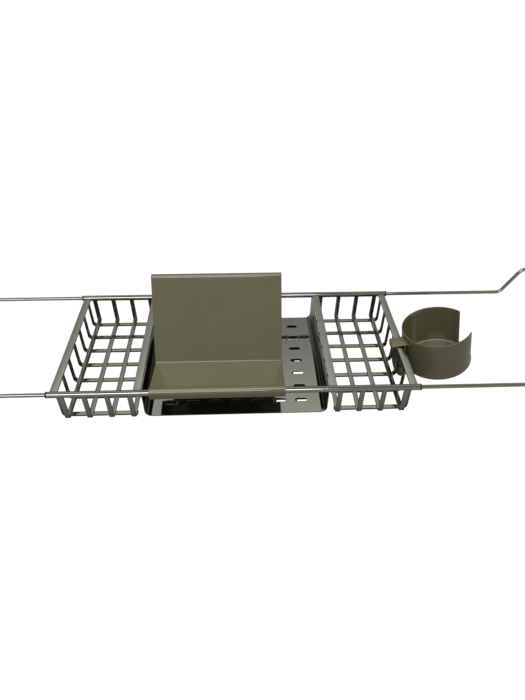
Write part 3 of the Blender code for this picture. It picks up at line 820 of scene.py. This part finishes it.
def makeCup():
    # outside skin in (angle, height): full height round the back, down to the lip across the gap,
    # with round corners at the gap's foot and small ones at its top; the bottom closes on the axis
    s = cupSize
    edge, r = s["edge"], s["radius"]
    gapFrom, gapTo = [math.radians(a) for a in s["gap"]]
    wallTo = gapFrom + 2 * math.pi
    arc, tip = s["gapRound"] / r, s["tipRound"] / r
    inGap = roundedSpan(gapFrom, gapTo, arc, s["gapStations"])
    around = roundedSpan(gapTo, wallTo, tip, s["wallStations"])
    offSides = np.minimum(inGap - gapFrom, gapTo - inGap)
    offTips = np.minimum(around - gapTo, wallTo - around)
    gapTop = s["lip"] + s["gapRound"] * quarterRound(offSides / arc)
    fullTop = s["height"] - s["tipRound"] * quarterRound(offTips / tip)
    low = s["lip"] + s["gapRound"]
    # up to the top of the gap's corners the wall is a closed ring, and from there on it is open
    angles = np.concatenate([inGap[:-1], around[:-1]])
    lowTop = np.concatenate([gapTop[:-1], np.full(len(around) - 1, low)])
    quarter = np.linspace(-math.pi / 2, 0, s["roundSteps"] + 1)
    bottomR = np.concatenate([s["bottomRings"], r - edge + edge * np.cos(quarter)])
    bottomZ = np.concatenate([np.zeros(len(s["bottomRings"])), edge + edge * np.sin(quarter)])
    share = np.linspace(0, 1, s["lowSteps"] + 1)[1:, None]
    wallZ = edge + share * (lowTop[None, :] - edge)
    bottom = (len(bottomZ), len(angles))
    z = np.concatenate([np.broadcast_to(bottomZ[:, None], bottom), wallZ])
    radius = np.concatenate([np.broadcast_to(bottomR[:, None], bottom), np.full(wallZ.shape, r)])
    rows, columns = z.shape
    lower = onCup(radius, np.broadcast_to(angles[None, :], z.shape), z).reshape(-1, 3)
    centre = onCup(np.zeros(1), np.zeros(1), np.zeros(1))
    lowerFaces = gridQuads(rows, columns, closeColumns=True)
    lowerFaces += [[rows * columns, (j + 1) % columns, j] for j in range(columns)]
    share = np.linspace(0, 1, s["highSteps"] + 1)[:, None]
    z = low + share * (fullTop[None, :] - low)
    upper = onCup(np.full(z.shape, r), np.broadcast_to(around[None, :], z.shape), z).reshape(-1, 3)
    lower = np.concatenate([lower, centre])
    shape = joinMeshes([(lower, lowerFaces), (upper, gridQuads(*z.shape))])
    piece = putPiece("cupShell", shape, "cup_holder", oliveCoat, "cup_holder", s["merge"] * mm)
    giveWall(piece, s["wall"] * mm)
    return softenEdges(piece, s["softEdge"] * mm, s["softSteps"], s["softAngle"])


makeCup()
print("cup made")

clipSize = {
    "sheet": 1.4,
    "width": 18.2,
    "atY": -17.3,
    "pivot": (214.2, 46.25),
    "gap": 0.3,
    "innerOverhang": 6.7,
    "lipDrop": 7.5,
    "bend": 1.2,
    "bendSteps": 8,
    "capEdge": 0.5,
    "plateRadius": 42.5,
    "plateTop": 43.45,
    "plateAt": (223.9, 219.2),
    "plateSteps": 48,
    "neckTop": 49.9,
    "neckFlare": (2.0, 1.2),
    "edge": 0.35,
    "edgeSteps": 3,
}


def clipCap():
    # a rounded strip in the (out, up) plane, drawn out from the pivot until it meets the cup:
    # out grows by (axis out - sqrt(seat^2 - back^2)) / reach
    s = clipSize
    pivot = np.array([s["pivot"][0], s["atY"], s["pivot"][1]])
    middle = pivot + leanUp * (s["gap"] + s["sheet"] / 2)
    lip = middle + leanOut * (s["sheet"] / 2 - s["innerOverhang"])
    axisOut = (np.array(cupSize["rim"]) - pivot) @ leanOut
    reach = axisOut - cupSize["radius"]
    corners = np.array([lip - leanUp * s["lipDrop"], lip, middle + leanOut * reach])
    path = roundedPath(corners, [s["bend"]], s["bendSteps"])
    share = np.linspace(0, 1, s["bendSteps"] + 1)[1:, None]
    path = np.concatenate([path[:-1], path[-2] + share * (path[-1] - path[-2])])
    section = barSection(s["width"], s["sheet"], s["capEdge"])
    points, faces = carryAlong(path, (0, 1, 0), section)
    out = (points - pivot) @ leanOut
    seat = cupSize["radius"] - cupSize["wall"] / 2
    meets = axisOut - np.sqrt(seat**2 - ((points - cupSize["rim"]) @ cupBack) ** 2)
    points = points + (np.maximum(out, 0) * (meets / reach - 1))[:, None] * leanOut
    return points * mm, faces


def clipPlate():
    # a half disc with a neck: its outline (across, up) as rings that shrink toward the middle
    # by the edge's round on both faces, tilted about the line through its top
    s = clipSize
    a = np.linspace(0, math.pi, s["plateSteps"] + 1)
    halfDisc = np.stack([-np.cos(a), -np.sin(a)], -1) * s["plateRadius"]
    neck, neckTop = s["width"] / 2, s["neckTop"] - s["plateTop"]
    flare, flareTop = s["neckFlare"]
    side = [(neck + flare, 0), (neck, flareTop), (neck, neckTop)]
    outline = np.concatenate([halfDisc, side, [(-x, y) for x, y in side[::-1]]])
    e = s["edge"]
    t = np.linspace(0, math.pi / 2, s["edgeSteps"] + 1)
    shrink = np.concatenate([e * (1 - np.sin(t)), e * (1 - np.sin(t[::-1]))])
    depth = np.concatenate([e * (1 - np.cos(t)), s["sheet"] - e * (1 - np.cos(t[::-1]))])
    inward = outline.mean(0) - outline
    inward = inward / np.linalg.norm(inward, axis=1)[:, None]
    rings = outline[None] + shrink[:, None, None] * inward[None]
    topX, footX = s["plateAt"]
    tilt = math.asin((topX - footX) / s["plateRadius"])
    across = np.array([0.0, 1.0, 0.0])
    up = np.array([math.sin(tilt), 0, math.cos(tilt)])
    face = np.array([math.cos(tilt), 0, -math.sin(tilt)])
    start = np.array([topX, s["atY"], s["plateTop"]])
    points = start + rings[..., :1] * across + rings[..., 1:] * up + depth[:, None, None] * face
    return cappedRings(points * mm)


putPiece("cupClip", joinMeshes([clipCap(), clipPlate()]), "cup_holder", oliveCoat, "cup_clip")
print("clip made")

# metres, but for the lit spots' corners, the lens and its sensor, which are in mm; the turn is
# yaw, pitch and roll in radians. The floor is white outside a dark middle, a painted shadow under
# the tray, and the mirrored floor is a glowing sheet that only reflections see, with painted shade
# under the caddy; their stops are (share of the fade, brightness)
studio = {
    "background": 1.0,
    "groundHalf": 6.0,
    "floor": {
        "height": -0.0004,
        # the dark middle under the tray is a painted shadow
        "middle": (0.1, 0.092),
        "fade": 0.004,
        "stops": ((0.0, 0.004), (0.3, 0.02), (1.0, 1.05)),
        "seenByCamera": True,
    },
    "mirroredFloor": {
        # a glowing sheet seen only in reflections: painted shade under the caddy, brightening
        # outward as a painted reflection of the floor
        "height": -0.0006,
        "middle": (0.235, 0.100),
        "fade": 0.3,
        "stops": ((0.0, 0.03), (0.04, 0.22), (0.15, 0.30), (0.5, 0.40), (1.0, 0.45)),
        "seenByCamera": False,
    },
    "litHeight": -0.0003,
    "litTone": 1.05,
    "litSpots": (
        (78.5, -28.4, 93.0, -20.9), (79.0, -79.3, 93.0, -73.4),
        (52.0, -79.3, 65.0, -73.4), (82.5, -3.0, 89.5, 2.4),
    ),
    "lens": 26.44,
    "sensor": 36.0,
    "nearest": 0.01,
    "place": (0.011679, -0.536156, 0.491083),
    "turn": (0.046, 0.717, 0.011),
    "skyBlend": 0.15,
    "skyBlue": 0.985,
    "backSky": (
        (-90, 0.20), (-10, 0.10), (5, 0.06), (20, 0.14), (30, 0.24), (38, 0.35), (41, 0.42),
        (46, 0.60), (52, 0.70), (62, 0.55), (68, 0.40), (74, 0.18), (90, 0.15),
    ),
    "frontSky": (
        (-90, 0.20), (-45, 0.31), (0, 0.33), (40, 0.30), (62, 0.28), (75, 0.18), (90, 0.15),
    ),
}


def makeGlow(name, points):
    # a stage sheet of four-cornered faces, black but for its own glow
    mesh = bpy.data.meshes.new(name)
    faces = np.arange(len(points)).reshape(-1, 4).tolist()
    mesh.from_pydata(np.asarray(points).tolist(), [], faces)
    glow = bpy.data.objects.new(name, mesh)
    bpy.context.scene.collection.objects.link(glow)
    paint = bpy.data.materials.new(name + "Paint")
    paint.use_nodes = True
    nodes, links = paint.node_tree.nodes, paint.node_tree.links
    shader = nodes["Principled BSDF"]
    shader.inputs["Base Color"].default_value = (0, 0, 0, 1)
    shader.inputs["Specular IOR Level"].default_value = 0.0
    shader.inputs["Emission Strength"].default_value = 1.0
    mesh.materials.append(paint)
    glow.visible_diffuse = glow.visible_shadow = False
    return glow, nodes, links, shader.inputs["Emission Color"]


def makeGround(name, height, middle, fade, stops, seenByCamera):
    # its brightness follows how far a point lies outside the middle rectangle, which is the length
    # of max(|place| - middle, 0), until the fade is over; the dark middle is painted shade, under
    # the tray on the floor and under the caddy on the mirrored floor
    half = studio["groundHalf"]
    corners = [(x * half, y * half, height) for x, y in ((-1, -1), (1, -1), (1, 1), (-1, 1))]
    ground, nodes, links, emission = makeGlow(name, corners)
    value = nodes.new("ShaderNodeTexCoord").outputs["Object"]
    offMiddle = ("ABSOLUTE", None), ("SUBTRACT", (*middle, 1)), ("MAXIMUM", (0, 0, 0))
    for operation, other in (*offMiddle, ("LENGTH", None)):
        step = nodes.new("ShaderNodeVectorMath")
        step.operation = operation
        links.new(value, step.inputs[0])
        if other is not None:
            step.inputs[1].default_value = other
        value = step.outputs["Value" if operation == "LENGTH" else "Vector"]
    share = spread(nodes, links, value, 0.0, 1.0, (0.0, fade))
    links.new(colourRamp(nodes, links, share, [(at, (tone,) * 3) for at, tone in stops]), emission)
    ground.visible_camera = seenByCamera
    ground.visible_glossy = not seenByCamera


def makeLitSpots():
    # the white that shows through four of the tray's slots, seen by the camera only
    x0, y0, x1, y1 = np.array(studio["litSpots"]).T * mm
    x, y = np.stack([x0, x1, x1, x0], -1), np.stack([y0, y0, y1, y1], -1)
    corners = np.stack([x, y, np.full_like(x, studio["litHeight"])], -1)
    spots, _, _, emission = makeGlow("litSpots", corners.reshape(-1, 3))
    emission.default_value = (*(studio["litTone"],) * 3, 1)
    spots.visible_glossy = False


def skyRamp(nodes, links, height, stops):
    # the stops are (elevation in degrees, brightness); the ramp runs along (1 + sin elevation) / 2
    blue = studio["skyBlue"]
    tones = [((1 + math.sin(math.radians(e))) / 2, (b, b, b * blue)) for e, b in stops]
    return colourRamp(nodes, links, height, tones)


def makeSky():
    # brightness by elevation, one ramp toward the back and one toward the front, blended across
    # the sides; the camera itself sees the plain background
    world = bpy.data.worlds.new("studioSky")
    bpy.context.scene.world = world
    world.use_nodes = True
    nodes, links = world.node_tree.nodes, world.node_tree.links
    place = nodes.new("ShaderNodeTexCoord")
    split = nodes.new("ShaderNodeSeparateXYZ")
    links.new(place.outputs["Generated"], split.inputs["Vector"])
    across = studio["skyBlend"]
    height = spread(nodes, links, split.outputs["Z"], 0.0, 1.0, (-1.0, 1.0))
    toBack = spread(nodes, links, split.outputs["Y"], 0.0, 1.0, (-across, across))
    blend = nodes.new("ShaderNodeMix")
    blend.data_type = "RGBA"
    links.new(toBack, blend.inputs["Factor"])
    links.new(skyRamp(nodes, links, height, studio["frontSky"]), blend.inputs[6])  # colour A
    links.new(skyRamp(nodes, links, height, studio["backSky"]), blend.inputs[7])  # colour B
    background = nodes["Background"]
    links.new(blend.outputs[2], background.inputs["Color"])  # the blended colour
    pale = nodes.new("ShaderNodeBackground")
    pale.inputs["Color"].default_value = (*(studio["background"],) * 3, 1)
    rays = nodes.new("ShaderNodeLightPath")
    mix = nodes.new("ShaderNodeMixShader")
    links.new(rays.outputs["Is Camera Ray"], mix.inputs["Fac"])
    links.new(background.outputs["Background"], mix.inputs[1])
    links.new(pale.outputs["Background"], mix.inputs[2])
    links.new(mix.outputs["Shader"], nodes["World Output"].inputs["Surface"])


# metres and watts; a mirrored lamp shows in the steel, and what it misses are the last words of
# the flat steel pieces' names
lamps = {
    "overheadFill": {
        "place": (0.0, -0.1, 1.6),
        "target": (0, 0, 0),
        "size": (1.6, 0.9),
        "power": 23.5,
    },
    "frontFill": {
        "place": (-0.1, -1.5, 0.45),
        "target": (0, 0, 0),
        "size": (1.6, 0.6),
        "power": 1.5,
    },
    "oliveGlow": {
        "place": (0.0, -0.14, 0.8),
        "target": (0, -0.05, 0.0),
        "size": (2.0, 0.45),
        "power": 9.0,
        "shinesOn": oliveCoat,
    },
    "stripBox": {
        "place": (-0.46, -1.17, 1.2),
        "target": (-0.46, -0.1, 0.045),
        "size": (1.62, 0.45),
        "power": 13.4,
        "tint": (0.87, 0.88, 1.0),
        "mirrored": True,
        "misses": ("Flat", "Band", "Pan"),
    },
}


def linkLamp(lamp, pieces, state):
    # the lamp lights only the pieces that it includes, or all but those that it excludes
    group = bpy.data.collections.new(lamp.name + "Pieces")
    for piece in pieces:
        group.objects.link(piece)
    for entry in group.collection_objects:
        entry.light_linking.link_state = state
    lamp.light_linking.receiver_collection = group


def makeLamp(
    name, place, target, size, power, tint=(1, 1, 1), mirrored=False, shinesOn=None, misses=()
):
    # a lamp that shines on one finish only gives its pieces a reflection and no light;
    # the pieces whose names end in a word that it misses aren't lit by it and don't mirror it
    data = bpy.data.lights.new(name, "AREA")
    data.shape = "RECTANGLE"
    data.size, data.size_y = size
    data.energy = power
    data.color = tint
    lamp = bpy.data.objects.new(name, data)
    bpy.context.scene.collection.objects.link(lamp)
    lamp.location = place
    lamp.rotation_euler = (Vector(target) - Vector(place)).to_track_quat("-Z", "Y").to_euler()
    lamp.visible_camera = False
    lamp.visible_glossy = mirrored or shinesOn is not None
    pieces = [piece for piece in bpy.context.scene.objects if piece.type == "MESH"]
    if shinesOn is not None:
        coated = [piece for piece in pieces if shinesOn.name in piece.data.materials]
        linkLamp(lamp, coated, "INCLUDE")
        lamp.visible_diffuse = False
    if misses:
        linkLamp(lamp, [piece for piece in pieces if piece.name.endswith(misses)], "EXCLUDE")


def makeCamera():
    # forward = (sin yaw cos pitch, cos yaw cos pitch, -sin pitch), and the roll turns right and up
    # about it
    yaw, pitch, roll = studio["turn"]
    level = np.array([math.cos(yaw), -math.sin(yaw), 0.0])
    ahead = np.array([math.sin(yaw), math.cos(yaw), 0.0])
    forward = ahead * math.cos(pitch) - np.array([0.0, 0.0, math.sin(pitch)])
    above = np.cross(level, forward)
    right = math.cos(roll) * level + math.sin(roll) * above
    up = -math.sin(roll) * level + math.cos(roll) * above
    data = bpy.data.cameras.new("photoCamera")
    data.sensor_fit = "VERTICAL"
    data.sensor_height = studio["sensor"]
    data.lens = studio["lens"]
    data.clip_start = studio["nearest"]
    camera = bpy.data.objects.new("photoCamera", data)
    bpy.context.scene.collection.objects.link(camera)
    turn = Matrix(np.stack([right, up, -forward], 1).tolist()).to_4x4()
    camera.matrix_world = Matrix.Translation(studio["place"]) @ turn
    bpy.context.scene.camera = camera


for name in ("floor", "mirroredFloor"):
    makeGround(name, **studio[name])
makeLitSpots()
makeSky()
for name, lamp in lamps.items():
    makeLamp(name, **lamp)
makeCamera()
bpy.context.scene.view_settings.view_transform = "Standard"
print("studio made")
